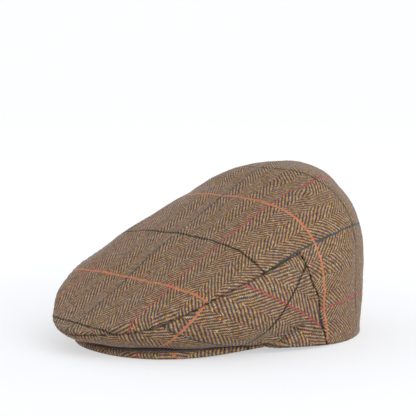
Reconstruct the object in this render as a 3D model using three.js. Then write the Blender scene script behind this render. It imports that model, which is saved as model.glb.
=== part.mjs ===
// Flat cap of checked herringbone tweed: a one-piece top that runs down to the rim at the back,
// a tapering panel on each side, and a stiff cloth-covered peak that the crown's front lies on.
// Millimetres. The peak points to -Y, the wearer's left is +X, and the rim rests on Z = 0.
import * as THREE from "three";

// Crown, measured from the middle of the rim to the crown's widest line
const crownFrontReach = 157.5;
const crownBackReach = 103;
const crownHalfWidth = 104;
const crownHeight = 134;

// Rim that the head goes into
const rimHalfLength = 100;
const rimHalfWidth = 90.5;
const rimArch = 3.7; // how high the rim lifts off the floor at the temples
const tweedWall = 2.4; // tweed with its lining, as one wall

// Peak
const peakDepth = 36; // beyond the rim at the centre front
const peakThickness = 5;
const peakTipThickness = 1.5;
const peakTaperAngle = 44; // the peak thins from here to its tips, degrees from the front
const peakTipRise = 4.9; // how far the peak bends up from the floor to its tips
const peakTipAngle = 62.5; // where the peak's edge runs in under the rim
const peakTuck = 8; // how far the peak's inner edge reaches inside the rim's line

// Joins
const seamGap = 0.4; // between two panels
const peakSeat = 0.4; // between the peak and the panels that lie on it
const rimDropAngle = 5; // past the tip, the rim comes down off the peak over this angle
const archAngle = 60; // the rim's arch runs down from here to the floor
const archEndAngle = 120;
const creaseDepth = 4.5; // deepest of the soft creases and dents
const creaseEndDown = 1.85; // creases die away from here to the rim

// Steps of the panels' surfaces
const frontSteps = 13; // from the centre front to a side seam, along the crown's turn
const tipSteps = 8; // the first of these, which reach at the rim to the peak's tip
const backSteps = 14; // from a side seam to the centre back
const topSteps = 14; // from the crown's middle down to the seam
const sideSteps = 12; // from the seam down to the rim
const peakSteps = 32;

// The widest line of the crown. Reach is a share of an ellipse through the three reaches above,
// and height a share of the crown's height.
const widestLine = [
  { angle: 0, reach: 1.0, height: 0.135 },
  { angle: 25, reach: 1.012, height: 0.23 },
  { angle: 50, reach: 1.068, height: 0.334 },
  { angle: 75, reach: 0.998, height: 0.378 },
  { angle: 100, reach: 0.945, height: 0.41 },
  { angle: 130, reach: 0.94, height: 0.439 },
  { angle: 155, reach: 0.958, height: 0.454 },
  { angle: 180, reach: 1.0, height: 0.465 },
];

// The flat of the top along the middle, before its edges turn down to the widest line.
// Station is a share of the front or back reach, and height a share of the crown's height.
const topLine = [
  { station: -1.15, height: 0.045 },
  { station: -0.85, height: 0.295 },
  { station: -0.55, height: 0.528 },
  { station: -0.25, height: 0.708 },
  { station: 0.05, height: 0.895 },
  { station: 0.48, height: 1.04 },
  { station: 0.96, height: 1.117 },
  { station: 1.33, height: 1.145 },
];

// The seam between the top and a side panel. Down is 0 at the crown's middle, 1 at its
// widest line and 2 at the rim.
const topSeam = [
  { angle: 0, down: 1.12 },
  { angle: 14, down: 1.15 },
  { angle: 22, down: 1.18 },
  { angle: 29, down: 1.13 },
  { angle: 38, down: 1.02 },
  { angle: 46, down: 0.92 },
  { angle: 60, down: 0.83 },
  { angle: 77, down: 0.79 },
];

// The upright seam behind a side panel, from the end of the top seam to the rim
const sideSeam = [
  { down: 0.79, angle: 77 },
  { down: 0.95, angle: 81 },
  { down: 1.1, angle: 85.5 },
  { down: 1.4, angle: 89 },
  { down: 1.7, angle: 93 },
  { down: 2, angle: 98 },
];

// Soft creases and dents. Depth is a share of the crease depth, less than 0 where the cloth
// puffs out, and the two spreads are the half widths of each, in degrees and in down.
const creases = [
  { angle: 72, down: 1.79, depth: 1, angleSpread: 8, downSpread: 0.12 },
  { angle: 83, down: 1.6, depth: 0.35, angleSpread: 8, downSpread: 0.11 },
  { angle: 62, down: 1.45, depth: -0.4, angleSpread: 14, downSpread: 0.22 },
  { angle: -70, down: 1.78, depth: 0.9, angleSpread: 8, downSpread: 0.12 },
  { angle: -61, down: 1.45, depth: -0.4, angleSpread: 14, downSpread: 0.22 },
  { angle: -47, down: 0.7, depth: 0.45, angleSpread: 9, downSpread: 0.12 },
  { angle: -60, down: 0.44, depth: -0.3, angleSpread: 9, downSpread: 0.1 },
];

const cornerAngle = topSeam.at(-1).angle;
const sideFullness = 0.893; // 1 rounds the crown's edge as an ellipse, and less makes it fuller
const topFullness = 0.782;
const smallStep = 0.002; // for slopes of the surface, in degrees and in down

// Below the widest line the cloth drops, and then turns in to the rim. All are shares: of the
// drop from the widest line to the rim, and of the way out from the rim to the widest line.
// Where the crown overhangs the rim, at the front, it turns in lower down and flatter.
const plungeShare = 0.45;
const turnInReach = 0.25;
const turnInFrontReach = 0.75;
const turnInHeight = 0.35;
const frontnessStart = 0.25; // cosine of the angle where the overhang starts
const frontnessFull = 0.8; // and where it is full

const rowCrowding = 1.35; // above 1, rows come closer to each other towards the top seam
const peakFullness = 3; // how long the peak keeps its depth towards the tips
const peakTailing = 2.75; // how thin the peak's edge runs out at them

// A smooth curve through one column of a table against another
function curveThrough(rows, along, value, ending) {
  const curve = new THREE.CubicInterpolant(
    rows.map((row) => row[along]),
    rows.map((row) => row[value]),
    1,
  );
  curve.settings = { endingStart: ending, endingEnd: ending };
  return (at) => curve.evaluate(at)[0];
}

const widestReach = curveThrough(widestLine, "angle", "reach", THREE.ZeroSlopeEnding);
const widestHeight = curveThrough(widestLine, "angle", "height", THREE.ZeroSlopeEnding);
const topHeight = curveThrough(topLine, "station", "height", THREE.ZeroCurvatureEnding);
const topSeamDown = curveThrough(topSeam, "angle", "down", THREE.ZeroSlopeEnding);
const sideSeamAngle = curveThrough(sideSeam, "down", "angle", THREE.ZeroCurvatureEnding);

const radians = THREE.MathUtils.degToRad;
const between = THREE.MathUtils.lerp;

// Degrees from the centre front, the same on both sides
function turnFromFront(angle) {
  return Math.abs(THREE.MathUtils.euclideanModulo(angle + 180, 360) - 180);
}

function ellipseRadius(angle, halfWidth, halfLength) {
  return 1 / Math.hypot(Math.sin(radians(angle)) / halfWidth, Math.cos(radians(angle)) / halfLength);
}

function rimRadius(angle) {
  return ellipseRadius(angle, rimHalfWidth, rimHalfLength);
}

// Underside of the peak: on the floor in front, bent up towards its tips
function peakUnderside(angle) {
  return peakTipRise * Math.min(1, turnFromFront(angle) / peakTipAngle) ** 3;
}

function peakThicknessAt(angle) {
  const taper = THREE.MathUtils.smoothstep(turnFromFront(angle), peakTaperAngle, peakTipAngle);
  return between(peakThickness, peakTipThickness, taper);
}

// The rim lies on the peak at the front, arches over the temples and meets the floor behind them
function rimHeight(angle) {
  const turn = turnFromFront(angle);
  const arch = rimArch * (1 - THREE.MathUtils.smoothstep(turn, archAngle, archEndAngle));
  const onPeak = 1 - THREE.MathUtils.smoothstep(turn, peakTipAngle, peakTipAngle + rimDropAngle);
  return between(arch, peakUnderside(angle) + peakThicknessAt(angle) + peakSeat, onPeak);
}

function atAngle(radius, angle, height) {
  return new THREE.Vector3(radius * Math.sin(radians(angle)), -radius * Math.cos(radians(angle)), height);
}

function widestRadius(angle) {
  const reach = Math.cos(radians(angle)) > 0 ? crownFrontReach : crownBackReach;
  return ellipseRadius(angle, crownHalfWidth, reach) * widestReach(turnFromFront(angle));
}

// Above the widest line: full curves that rise to the flat of the top
function upperPoint(angle, down) {
  const edgeHeight = crownHeight * widestHeight(turnFromFront(angle));
  const lean = radians(90 * (1 - down));
  const point = atAngle(widestRadius(angle) * Math.cos(lean) ** sideFullness, angle, 0);
  const station = point.y / (point.y < 0 ? crownFrontReach : crownBackReach);
  point.z = between(edgeHeight, crownHeight * topHeight(station), Math.sin(lean) ** topFullness);
  return point;
}

// Below it: the cloth turns in to the rim, and at the front it turns flat under the crown
function lowerPoint(angle, down) {
  const forward = Math.cos(radians(angle));
  const overhang = THREE.MathUtils.inverseLerp(frontnessStart, frontnessFull, forward);
  const frontness = THREE.MathUtils.clamp(overhang, 0, 1);
  const radius = widestRadius(angle);
  const top = crownHeight * widestHeight(turnFromFront(angle));
  const rim = rimRadius(angle);
  const low = rimHeight(angle);
  const turnInRadius = between(rim, radius, between(turnInReach, turnInFrontReach, frontness));
  const section = new THREE.CubicBezierCurve(
    new THREE.Vector2(radius, top),
    new THREE.Vector2(radius, between(low, top, plungeShare)),
    new THREE.Vector2(turnInRadius, between(low, top, turnInHeight * (1 - frontness))),
    new THREE.Vector2(rim, low),
  );
  const at = section.getPoint(down - 1);
  return atAngle(at.x, angle, at.y);
}

function smoothPoint(angle, down) {
  return down <= 1 ? upperPoint(angle, down) : lowerPoint(angle, down);
}

// Which way the smooth surface faces, from its slopes both ways
function outward(angle, down) {
  if (down < smallStep) return outward(0, 2 * smallStep).setX(0).normalize();
  const high = Math.max(down - smallStep, 0);
  const low = Math.min(down + smallStep, 2);
  const downhill = smoothPoint(angle, low).sub(smoothPoint(angle, high));
  const around = smoothPoint(angle + smallStep, down).sub(smoothPoint(angle - smallStep, down));
  return downhill.cross(around).normalize();
}

function creaseAt(angle, down) {
  let depth = 0;
  for (const crease of creases) {
    const across = (angle - crease.angle) / crease.angleSpread;
    const along = (down - crease.down) / crease.downSpread;
    depth += crease.depth * creaseDepth * Math.exp(-(across ** 2) - along ** 2);
  }
  return depth * (1 - THREE.MathUtils.smoothstep(down, creaseEndDown, 2));
}

// Outer face of the crown at an angle from the front, -180 to 180
function crownPoint(angle, down) {
  return smoothPoint(angle, down).addScaledVector(outward(angle, down), -creaseAt(angle, down));
}

// A sheet of cloth: points on its outer face, the way to its inner face, and triangles
class ClothSheet {
  constructor() {
    this.outer = [];
    this.inner = [];
    this.triangles = [];
    this.indexOf = new Map();
  }

  // The number of the point at this place on the crown, made once
  pointAt({ angle, down }) {
    const turn = down === 0 ? 0 : angle <= -180 ? angle + 360 : angle;
    const key = turn.toFixed(6) + " " + down.toFixed(8);
    if (!this.indexOf.has(key)) {
      const point = crownPoint(turn, down);
      const inward = outward(turn, down).negate();
      const clearOfPeak = turnFromFront(turn) > peakTipAngle + rimDropAngle;
      if (down === 2 && clearOfPeak) inward.setZ(0).normalize(); // the rim is cut level
      this.indexOf.set(key, this.outer.length);
      this.outer.push(point);
      this.inner.push(point.clone().addScaledVector(inward, tweedWall));
    }
    return this.indexOf.get(key);
  }

  // Triangles between rows of places, each row running from the wearer's right to the left
  addRows(rows) {
    for (let down = 1; down < rows.length; down += 1) {
      for (let column = 1; column < rows[down].length; column += 1) {
        const highBefore = this.pointAt(rows[down - 1][column - 1]);
        const lowBefore = this.pointAt(rows[down][column - 1]);
        const low = this.pointAt(rows[down][column]);
        const high = this.pointAt(rows[down - 1][column]);
        this.triangles.push([highBefore, lowBefore, low]);
        if (high !== highBefore) this.triangles.push([highBefore, low, high]);
      }
    }
  }

  // The sheet as one closed wall: outer face, inner face and the cut edge between them
  wall() {
    const count = this.outer.length;
    const indices = [];
    const openEdges = new Map();
    for (const [a, b, c] of this.triangles) {
      indices.push(a, b, c, a + count, c + count, b + count);
      for (const [from, to] of [[a, b], [b, c], [c, a]]) {
        if (!openEdges.delete(to + " " + from)) openEdges.set(from + " " + to, [from, to]);
      }
    }
    for (const [from, to] of openEdges.values()) {
      indices.push(from, from + count, to + count, from, to + count, to);
    }
    const geometry = new THREE.BufferGeometry().setFromPoints([...this.outer, ...this.inner]);
    geometry.setIndex(indices);
    geometry.computeVertexNormals();
    return geometry;
  }
}

function seamDownAt(angle) {
  return topSeamDown(Math.min(turnFromFront(angle), cornerAngle));
}

// Half of the seam's gap at a place on the top seam, as a step in down, measured across the seam
function gapDown(angle) {
  const seamPoint = (turn) => smoothPoint(turn, seamDownAt(turn));
  const along = seamPoint(angle + smallStep).sub(seamPoint(angle - smallStep));
  const down = seamDownAt(angle);
  const downhill = smoothPoint(angle, down + smallStep).sub(smoothPoint(angle, down - smallStep));
  const across = downhill.cross(along).length() / along.length() / (2 * smallStep);
  return seamGap / 2 / across;
}

// The same as an angle, for the upright seams
function gapAngle(angle) {
  return THREE.MathUtils.radToDeg(seamGap / 2 / rimRadius(angle));
}

// Share of the way from the top seam down to the rim, as a place on the upright seam
function sideSeamAt(share) {
  const start = sideSeam[0].down;
  const end = sideSeam.at(-1).down;
  return sideSeamAngle(between(start, end, share));
}

// Angles from the centre front to the upright seam, for both panels that meet at the top seam.
// At the rim one of them is the peak's tip, where the rim starts to drop.
function frontAngles(corner) {
  const tipShare = peakTipAngle / sideSeam.at(-1).angle;
  return Array.from({ length: frontSteps }, (_, step) => {
    const pastTip = Math.max(0, step - tipSteps) / (frontSteps - tipSteps);
    const share = between(tipShare, 1, pastTip) * Math.min(1, step / tipSteps);
    return corner * share;
  });
}

// Angles from the upright seam to the centre back
function wingAngles(share) {
  const corner = sideSeamAt(share) + gapAngle(cornerAngle);
  return Array.from({ length: backSteps + 1 }, (_, step) => between(corner, 180, step / backSteps));
}

// Rows come closer to each other towards the top seam, where the crown turns
function rowAbove(step) {
  return 1 - (1 - step / topSteps) ** rowCrowding;
}

function rowBelow(step) {
  return (step / sideSteps) ** rowCrowding;
}

function topPanelEdge(angle) {
  return seamDownAt(angle) - gapDown(angle);
}

function crownTop() {
  const sheet = new ClothSheet();
  const leftAngles = [...frontAngles(cornerAngle), ...wingAngles(0)];
  const allAngles = [...leftAngles.slice(1).reverse().map((angle) => -angle), ...leftAngles];
  const overRows = [];
  for (let step = 0; step <= topSteps; step += 1) {
    const share = rowAbove(step);
    overRows.push(allAngles.map((angle) => ({ angle, down: share * topPanelEdge(angle) })));
  }
  sheet.addRows(overRows);

  // the two back wings, joined at the centre back
  const wingRows = [];
  for (let step = 0; step <= sideSteps; step += 1) {
    const share = rowBelow(step);
    const left = wingAngles(share);
    const row = [...left, ...left.slice(0, -1).reverse().map((angle) => -angle)];
    wingRows.push(row.map((angle) => ({ angle, down: between(topPanelEdge(angle), 2, share) })));
  }
  sheet.addRows(wingRows);
  return sheet.wall();
}

// side is 1 for the wearer's left and -1 for the right
function sidePanel(side) {
  const rows = [];
  for (let step = 0; step <= sideSteps; step += 1) {
    const share = rowBelow(step);
    const corner = sideSeamAt(share);
    const inner = frontAngles(corner).slice(1);
    const angles = [gapAngle(0), ...inner, corner - gapAngle(cornerAngle)];
    const row = angles.map((angle) => ({
      angle: side * angle,
      down: between(seamDownAt(angle) + gapDown(angle), 2, share),
    }));
    rows.push(side > 0 ? row : row.reverse());
  }
  const sheet = new ClothSheet();
  sheet.addRows(rows);
  return sheet.wall();
}

// How far the peak reaches past the rim at an angle
function peakReach(angle) {
  const share = Math.min(1, Math.abs(angle) / peakTipAngle);
  return peakDepth * (1 - share ** peakFullness) ** peakTailing;
}

// The peak: one rounded section, swept from tip to tip
function peak() {
  const edgeAngles = [-90, -45, 0, 45, 90];
  const sections = [];
  for (let step = 0; step <= peakSteps; step += 1) {
    const angle = between(-peakTipAngle, peakTipAngle, step / peakSteps);
    const thickness = peakThicknessAt(angle);
    const edgeRadius = thickness / 2;
    const inside = rimRadius(angle) - peakTuck;
    const outside = rimRadius(angle) + peakReach(angle) - edgeRadius;
    const middle = (inside + outside) / 2;
    const section = [
      { radius: inside, up: thickness },
      { radius: inside, up: 0 },
      { radius: middle, up: 0 },
      ...edgeAngles.map((turn) => ({
        radius: outside + edgeRadius * Math.cos(radians(turn)),
        up: edgeRadius * (1 + Math.sin(radians(turn))),
      })),
      { radius: middle, up: thickness },
    ];
    sections.push(section.map(({ radius, up }) => atAngle(radius, angle, up + peakUnderside(angle))));
  }
  const around = sections[0].length;
  const indices = [];
  for (let step = 0; step < peakSteps; step += 1) {
    for (let corner = 0; corner < around; corner += 1) {
      const a = step * around + corner;
      const b = step * around + ((corner + 1) % around);
      indices.push(a, b + around, b, a, a + around, b + around);
    }
  }
  const last = peakSteps * around;
  for (let corner = 1; corner < around - 1; corner += 1) {
    indices.push(0, corner, corner + 1, last, last + corner + 1, last + corner);
  }
  const geometry = new THREE.BufferGeometry().setFromPoints(sections.flat());
  geometry.setIndex(indices);
  geometry.computeVertexNormals();
  return geometry;
}

const topTweed = new THREE.MeshStandardMaterial({ color: "#7d674b", roughness: 0.95, metalness: 0 });
const sideTweed = new THREE.MeshStandardMaterial({ color: "#86704f", roughness: 0.95, metalness: 0 });
const peakTweed = new THREE.MeshStandardMaterial({ color: "#6f5a40", roughness: 0.95, metalness: 0 });

function named(name, geometry, material) {
  const mesh = new THREE.Mesh(geometry, material);
  mesh.name = name;
  return mesh;
}

const cap = new THREE.Group();
cap.add(named("crown_top", crownTop(), topTweed));
cap.add(named("side_panel_left", sidePanel(1), sideTweed));
cap.add(named("side_panel_right", sidePanel(-1), sideTweed));
cap.add(named("peak", peak(), peakTweed));

// The part's origin is the middle of its footprint box, on the floor
const footprint = new THREE.Box3().setFromObject(cap);
cap.position.y = -(footprint.min.y + footprint.max.y) / 2;

export default cap;
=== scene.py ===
# %% [markdown]
# # A flat cap in herringbone tweed
# The cap lies on a pale table with its peak to the left. Its crown is one top panel that runs
# down to the rim at the back, and a tapering panel on each side. The crown's front lies on a
# short stiff peak. Every panel is made here as a thin shell of cloth with turned seams, and each
# one takes the place of its plain solid in the frame.

# %% Load the frame
import math
import bmesh
import bpy
import numpy as np
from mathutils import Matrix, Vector


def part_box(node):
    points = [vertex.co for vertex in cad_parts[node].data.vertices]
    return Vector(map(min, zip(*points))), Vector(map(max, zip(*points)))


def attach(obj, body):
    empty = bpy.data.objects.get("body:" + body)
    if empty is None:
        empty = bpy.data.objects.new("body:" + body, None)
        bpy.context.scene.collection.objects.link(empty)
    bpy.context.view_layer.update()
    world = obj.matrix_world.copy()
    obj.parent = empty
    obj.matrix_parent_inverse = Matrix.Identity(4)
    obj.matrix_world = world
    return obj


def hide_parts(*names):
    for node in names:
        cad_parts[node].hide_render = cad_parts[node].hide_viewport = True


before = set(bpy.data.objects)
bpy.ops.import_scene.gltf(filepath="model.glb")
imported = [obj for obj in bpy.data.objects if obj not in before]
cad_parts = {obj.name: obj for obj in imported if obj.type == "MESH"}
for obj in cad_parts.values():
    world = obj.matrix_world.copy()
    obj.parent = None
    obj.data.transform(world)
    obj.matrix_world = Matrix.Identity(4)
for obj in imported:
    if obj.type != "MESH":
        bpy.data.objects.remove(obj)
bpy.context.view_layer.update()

MM = 0.001

# %% [markdown]
# ## The crown's surface
# A sewn cap has no flat faces, so its shape is written as a rule: for any angle from the centre
# front, and any way down from the middle of the crown (0) over its widest line (1) to the
# rim (2), the rule gives a point. The driving sizes, in millimetres, are those of the frame's
# solids, so the cloth lies where the solids are. Seams, folds and dents come later, as heights.

# %% Sizes of the crown
CROWN_FRONT_REACH = 157.5
CROWN_BACK_REACH = 103.0
CROWN_HALF_WIDTH = 104.0
CROWN_HEIGHT = 134.0
RIM_HALF_LENGTH = 100.0
RIM_HALF_WIDTH = 90.5
RIM_ARCH = 3.7
TWEED_WALL = 2.4
PEAK_DEPTH = 36.0
PEAK_THICKNESS = 5.0
PEAK_TIP_THICKNESS = 1.5
PEAK_TAPER_ANGLE = 44.0  # the peak thins from here to its tips, in degrees from the front
PEAK_TIP_RISE = 4.9
PEAK_RISE_POWER = 3  # the underside rises slowly at first and faster near the tips
PEAK_TIP_ANGLE = 62.5
PEAK_TUCK = 8.0
PEAK_SEAT = 0.4
PEAK_FULLNESS = 3.0
PEAK_TAILING = 2.75
RIM_DROP_ANGLE = 5.0
ARCH_ANGLES = (60.0, 120.0)
SIDE_FULLNESS = 0.893
TOP_FULLNESS = 0.782
PLUNGE_SHARE = 0.45  # below the widest line the cloth drops this far, and then turns in
TURN_IN_REACH = (0.25, 0.75)  # at the sides and back, and where the front overhangs the rim
TURN_IN_HEIGHT = 0.35
FRONTNESS = (0.25, 0.8)  # cosines of the angles where the overhang starts and where it is full
CORNER_ANGLE = 77.0  # where the top seam meets the upright one
RIM_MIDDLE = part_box("crown_top")[1].y / MM - CROWN_BACK_REACH  # the frame's origin is farther forward

# Angle from the front, reach as a share of the ellipse, height as a share of the crown's height
WIDEST_LINE = [(0, 1.0, 0.135), (25, 1.012, 0.23), (50, 1.068, 0.334), (75, 0.998, 0.378),
               (100, 0.945, 0.41), (130, 0.94, 0.439), (155, 0.958, 0.454), (180, 1.0, 0.465)]
# Station as a share of the front or back reach, height as a share of the crown's height
TOP_LINE = [(-1.15, 0.045), (-0.85, 0.295), (-0.55, 0.528), (-0.25, 0.708), (0.05, 0.895),
            (0.48, 1.04), (0.96, 1.117), (1.33, 1.145)]
# Angle and the way down at the seam between the top and a side panel
TOP_SEAM = [(0, 1.12), (14, 1.15), (22, 1.18), (29, 1.13), (38, 1.02), (46, 0.92), (60, 0.83), (77, 0.79)]
# The way down and the angle at the upright seam behind a side panel
SIDE_SEAM = [(0.79, 77), (0.95, 81), (1.1, 85.5), (1.4, 89), (1.7, 93), (2, 98)]
print("the rim's middle is", round(RIM_MIDDLE, 1), "mm behind the frame's origin")


# %% Smooth curves through a table
def smooth_curve(at, values, flat_ends=False):
    """The smoothest curve through the values; with flat ends it starts and stops level."""
    at = np.asarray(at, float)
    values = np.asarray(values, float)
    table = values.reshape(len(at), -1)
    step = np.diff(at)
    slope = np.diff(table, axis=0) / step[:, None]
    matrix = np.eye(len(at))
    target = np.zeros_like(table)
    for row in range(1, len(at) - 1):
        matrix[row, row - 1:row + 2] = step[row - 1], 2 * (step[row - 1] + step[row]), step[row]
        target[row] = 6 * (slope[row] - slope[row - 1])
    if flat_ends:
        matrix[0, :2] = 2 * step[0], step[0]
        matrix[-1, -2:] = step[-1], 2 * step[-1]
        target[0] = 6 * slope[0]
        target[-1] = -6 * slope[-1]
    bend = np.linalg.solve(matrix, target)

    def curve(place):
        place = np.clip(place, at[0], at[-1])
        left = np.clip(np.searchsorted(at, place) - 1, 0, len(at) - 2)
        width = step[left][..., None]
        after = (place - at[left])[..., None]
        before = width - after
        height = (bend[left] * before ** 3 + bend[left + 1] * after ** 3) / (6 * width)
        height += (table[left] / width - bend[left] * width / 6) * before
        height += (table[left + 1] / width - bend[left + 1] * width / 6) * after
        return height.reshape(np.shape(place) + values.shape[1:])
    return curve


widest_reach = smooth_curve([row[0] for row in WIDEST_LINE], [row[1] for row in WIDEST_LINE], True)
widest_height = smooth_curve([row[0] for row in WIDEST_LINE], [row[2] for row in WIDEST_LINE], True)
top_height = smooth_curve(*zip(*TOP_LINE))
top_seam_down = smooth_curve(*zip(*TOP_SEAM), True)
side_seam_angle = smooth_curve(*zip(*SIDE_SEAM))


def seam_down(angle):
    return top_seam_down(np.minimum(np.abs(angle), CORNER_ANGLE))


print("the top seam is", round(float(seam_down(0)), 2), "of the way down at the centre front")


# %% The rule of the surface
def smoothstep(value, low, high):
    share = np.clip((value - low) / (high - low), 0, 1)
    return share * share * (3 - 2 * share)


def mix(low, high, share):
    return low + (high - low) * share


def ellipse(angle, half_width, half_length):
    return 1 / np.hypot(np.sin(np.radians(angle)) / half_width, np.cos(np.radians(angle)) / half_length)


def rim_radius(angle):
    return ellipse(angle, RIM_HALF_WIDTH, RIM_HALF_LENGTH)


def peak_underside(angle):
    """The peak lies on the table in front and bends up a little towards its tips."""
    return PEAK_TIP_RISE * np.minimum(1, np.abs(angle) / PEAK_TIP_ANGLE) ** PEAK_RISE_POWER


def peak_thickness(angle):
    thinned = smoothstep(np.abs(angle), PEAK_TAPER_ANGLE, PEAK_TIP_ANGLE)
    return mix(PEAK_THICKNESS, PEAK_TIP_THICKNESS, thinned)


def rim_height(angle):
    turn = np.abs(angle)
    arch = RIM_ARCH * (1 - smoothstep(turn, *ARCH_ANGLES))
    on_peak = 1 - smoothstep(turn, PEAK_TIP_ANGLE, PEAK_TIP_ANGLE + RIM_DROP_ANGLE)
    return mix(arch, peak_underside(angle) + peak_thickness(angle) + PEAK_SEAT, on_peak)


def smooth_point(angle, down):
    """Points in millimetres from the middle of the rim, for arrays of angles and ways down."""
    angle, down = np.broadcast_arrays(np.asarray(angle, float), np.asarray(down, float))
    forward = np.cos(np.radians(angle))
    reach = np.where(forward > 0, CROWN_FRONT_REACH, CROWN_BACK_REACH)
    wide = ellipse(angle, CROWN_HALF_WIDTH, reach) * widest_reach(np.abs(angle))
    edge = CROWN_HEIGHT * widest_height(np.abs(angle))
    lean = np.radians(90 * (1 - np.clip(down, 0, 1)))
    radius = wide * np.cos(lean) ** SIDE_FULLNESS
    station = -radius * forward
    station = station / np.where(station < 0, CROWN_FRONT_REACH, CROWN_BACK_REACH)
    height = mix(edge, CROWN_HEIGHT * top_height(station), np.sin(lean) ** TOP_FULLNESS)
    # below the widest line, a curve with four handles turns in to the rim
    frontness = np.clip((forward - FRONTNESS[0]) / (FRONTNESS[1] - FRONTNESS[0]), 0, 1)
    rim, low, share = rim_radius(angle), rim_height(angle), np.clip(down - 1, 0, 1)
    weights = ((1 - share) ** 3, 3 * (1 - share) ** 2 * share, 3 * (1 - share) * share ** 2, share ** 3)
    radii = (wide, wide, mix(rim, wide, mix(*TURN_IN_REACH, frontness)), rim)
    heights = (edge, mix(low, edge, PLUNGE_SHARE), mix(low, edge, TURN_IN_HEIGHT * (1 - frontness)), low)
    below = down > 1
    radius = np.where(below, sum(w * r for w, r in zip(weights, radii)), radius)
    height = np.where(below, sum(w * h for w, h in zip(weights, heights)), height)
    return np.stack([radius * np.sin(np.radians(angle)), -radius * forward, height], -1)


SLOPE_STEP = 0.002  # in degrees and in shares of the way down
MIDDLE_CLEARANCE = 0.008  # all angles meet in the crown's middle, so no slope is taken nearer to it


def outward(angle, down):
    """Which way the surface faces, from its slopes both ways."""
    angle, down = np.broadcast_arrays(np.asarray(angle, float), np.asarray(down, float))
    down = np.maximum(down, MIDDLE_CLEARANCE)
    downhill = smooth_point(angle, np.minimum(down + SLOPE_STEP, 2)) - smooth_point(angle, down - SLOPE_STEP)
    around = smooth_point(angle + SLOPE_STEP, down) - smooth_point(angle - SLOPE_STEP, down)
    facing = np.cross(downhill, around)
    return facing / np.linalg.norm(facing, axis=-1, keepdims=True)


print("crown's middle is", np.round(smooth_point(0, 0), 1), "mm from the middle of the rim")

# %% [markdown]
# ## Panels as grids of points
# Each panel is one or two grids whose lines follow the crown's own directions, so the seams fall
# exactly on grid lines. The lines crowd together at the seams, where the cloth turns in sharply.

# %% Steps of the grids
FRONT_COLUMNS = 96  # from the centre front to the upright seam
BACK_COLUMNS = 108  # from the upright seam to the centre back
TOP_ROWS = 68
SIDE_ROWS = 60
DART_START = 0.2  # how far down the long dart at the centre back starts
# Powers: 1 gives even steps, and more makes them smaller at the seams
CROWDING = {"top rows": 1.5, "wing rows": 1.3, "wing columns": 1.35, "side rows": 1.45, "side columns": 1.15}


def crowd_end(count, power):
    """Shares from 0 to 1 that lie closer together at the end."""
    return 1 - (1 - np.linspace(0, 1, count + 1)) ** power


def crowd_both_ends(count, power):
    share = np.linspace(0, 1, count + 1)
    return share ** power / (share ** power + (1 - share) ** power)


def wing_columns(share):
    """Angles from the upright seam to the centre back, at a share of the way down to the rim."""
    corner = side_seam_angle(mix(SIDE_SEAM[0][0], SIDE_SEAM[-1][0], share))
    return mix(corner, 180, crowd_both_ends(BACK_COLUMNS, CROWDING["wing columns"]))


def top_grids():
    """The top panel: over the crown, and the two wings that run round the back to the rim."""
    front = np.linspace(0, CORNER_ANGLE, FRONT_COLUMNS + 1)
    left = np.concatenate([front[:-1], wing_columns(0)])
    angle = np.concatenate([-left[:0:-1], left])
    share = crowd_end(TOP_ROWS, CROWDING["top rows"])
    over = np.broadcast_arrays(angle, share[:, None] * seam_down(angle))
    shares = crowd_both_ends(SIDE_ROWS, CROWDING["wing rows"])
    wing_angle = np.stack([wing_columns(share) for share in shares])
    wing_down = mix(seam_down(wing_angle), 2, shares[:, None])
    return [over, (wing_angle, wing_down), (-wing_angle[:, ::-1], wing_down[:, ::-1])]


def side_grid(side):
    """A side panel: from the centre front back to the upright seam."""
    rows = []
    for share in crowd_both_ends(SIDE_ROWS, CROWDING["side rows"]):
        corner = side_seam_angle(mix(SIDE_SEAM[0][0], SIDE_SEAM[-1][0], share))
        angle = corner * crowd_end(FRONT_COLUMNS, CROWDING["side columns"])
        rows.append((angle, mix(seam_down(angle), 2, share)))
    angle, down = np.array(rows).transpose(1, 0, 2)
    return [(angle, down)] if side > 0 else [(-angle[:, ::-1], down[:, ::-1])]


panel_grids = {"top": top_grids(), "left": side_grid(1), "right": side_grid(-1)}
for name, grids in panel_grids.items():
    print(name, "panel has", sum(angle.size for angle, _ in grids), "points on its outer face")

# %% [markdown]
# ## Laying the panels flat
# A weave runs straight in the flat cloth and bends only as the sewn panel does. So each panel is
# laid flat as its pattern piece was cut, with Blender's unwrap, which keeps lengths as well as
# it can. The map is then turned and scaled so that it is in millimetres, with the warp along v.
# A coarse copy is enough for this, and a smooth curve carries its places over to the fine grid.


# %% Sheets with merged points
WELD_DISTANCE = 0.002  # millimetres


def welded(points, quads):
    """Numbers points that lie in one place the same, and drops the corners that then repeat."""
    keys = np.round(points / WELD_DISTANCE).astype(np.int64)
    _, first, number = np.unique(keys, axis=0, return_index=True, return_inverse=True)
    number = number.reshape(-1)
    faces, corners = [], []
    for quad in quads:
        kept = [corner for corner, before in zip(quad, np.roll(quad, 1))
                if number[corner] != number[before]]
        if len(kept) > 2:
            faces.append([int(number[corner]) for corner in kept])
            corners.append(kept)
    return first, faces, corners


def grid_quads(shapes):
    """Quads of several grids that are numbered one after another, facing outwards."""
    quads, start = [], 0
    for rows, columns in shapes:
        number = start + np.arange(rows * columns).reshape(rows, columns)
        high, low = number[:-1], number[1:]
        quads.append(np.stack([high[:, :-1], low[:, :-1], low[:, 1:], high[:, 1:]], -1).reshape(-1, 4))
        start += rows * columns
    return np.concatenate(quads)


def linked_object(name, data):
    """A new object that is in the scene."""
    piece = bpy.data.objects.new(name, data)
    bpy.context.scene.collection.objects.link(piece)
    return piece


def mesh_object(name, points, faces):
    """A mesh object from points in millimetres about the middle of the rim."""
    mesh = bpy.data.meshes.new(name)
    mesh.from_pydata(((points + (0, RIM_MIDDLE, 0)) * MM).tolist(), [], faces)
    return linked_object(name, mesh)


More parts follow.
